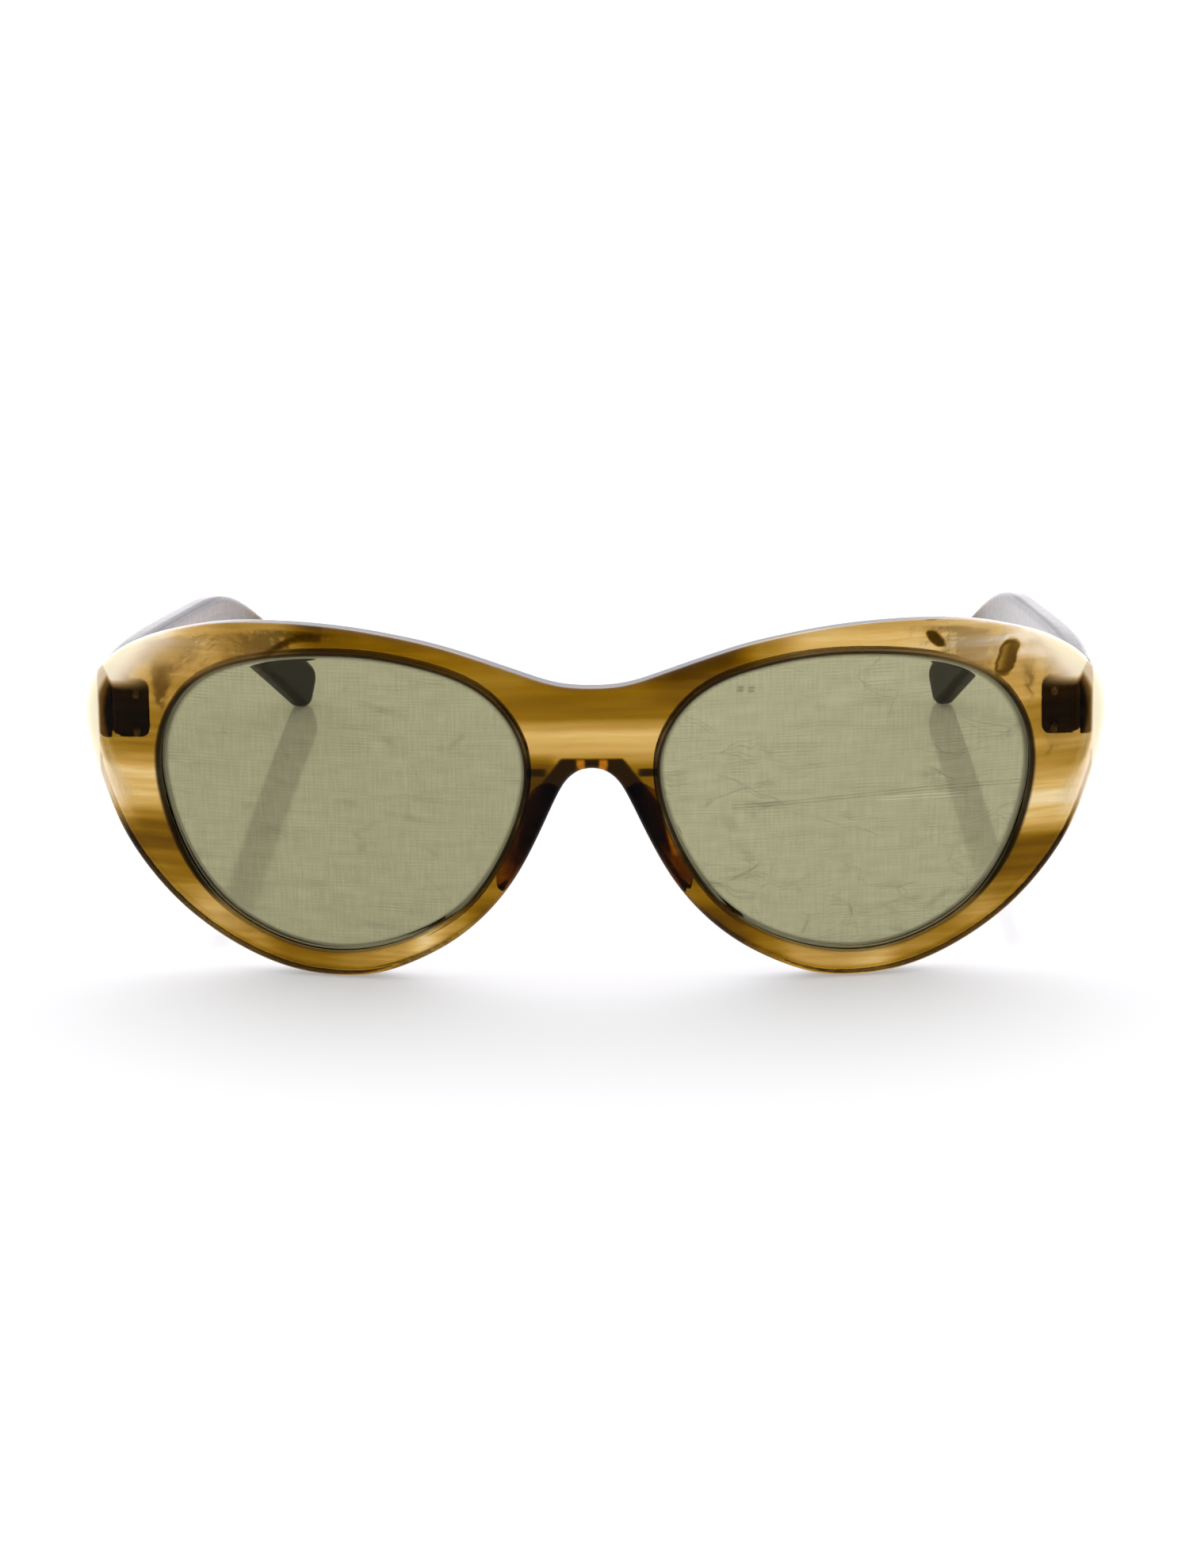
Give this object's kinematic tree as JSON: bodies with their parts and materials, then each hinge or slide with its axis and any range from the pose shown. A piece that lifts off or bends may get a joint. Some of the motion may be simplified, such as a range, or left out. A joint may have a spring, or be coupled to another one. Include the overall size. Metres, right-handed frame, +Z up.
{
  "type": "cat eye sunglasses",
  "caption": "Acetate cat-eye sunglasses: upswept front with tinted lenses and two folding temples on riveted screw hinges.",
  "frame": {"origin": "centre of the open pair's footprint, on the surface the rims and ear tips stand on", "axes": "+X towards the wearer's left, +Y from the front back towards the ear tips, +Z up"},
  "size_m": [0.1432, 0.1396, 0.0515],
  "materials": {
    "acetate_honey": "polished translucent honey and olive-brown streaked acetate",
    "acetate_pad": "polished translucent brown acetate",
    "lens_olive": "olive grey-green tint, lightly scratched",
    "hinge_steel": "satin nickel-plated steel",
    "screw_steel": "turned steel",
    "rivet_brass": "dull brass",
    "core_nickel_silver": "drawn nickel silver wire"
  },
  "bodies": {
    "front": {"front_frame": "acetate_honey", "lens_left": "lens_olive", "nose_pad_left": "acetate_pad", "front_hinge_leaf_left": "hinge_steel", "hinge_screw_left": "screw_steel", "front_rivet_upper_left": "rivet_brass", "front_rivet_lower_left": "rivet_brass", "lens_right": "lens_olive", "nose_pad_right": "acetate_pad", "front_hinge_leaf_right": "hinge_steel", "hinge_screw_right": "screw_steel", "front_rivet_upper_right": "rivet_brass", "front_rivet_lower_right": "rivet_brass"},
    "left_temple": {"temple_left": "acetate_honey", "core_wire_left": "core_nickel_silver", "temple_hinge_leaf_left": "hinge_steel", "temple_rivet_upper_left": "rivet_brass", "temple_rivet_lower_left": "rivet_brass"},
    "right_temple": {"temple_right": "acetate_honey", "core_wire_right": "core_nickel_silver", "temple_hinge_leaf_right": "hinge_steel", "temple_rivet_upper_right": "rivet_brass", "temple_rivet_lower_right": "rivet_brass"}
  },
  "joints": [
    {"name": "left_temple_fold", "type": "hinge", "parent": "front", "child": "left_temple", "pos_m": [0.0663, -0.0542, 0.0374], "axis": [0, 0, 1], "range_deg": [0, 84.5]},
    {"name": "right_temple_fold", "type": "hinge", "parent": "front", "child": "right_temple", "pos_m": [-0.0663, -0.0542, 0.0374], "axis": [0, 0, -1], "range_deg": [0, 79]}
  ]
}
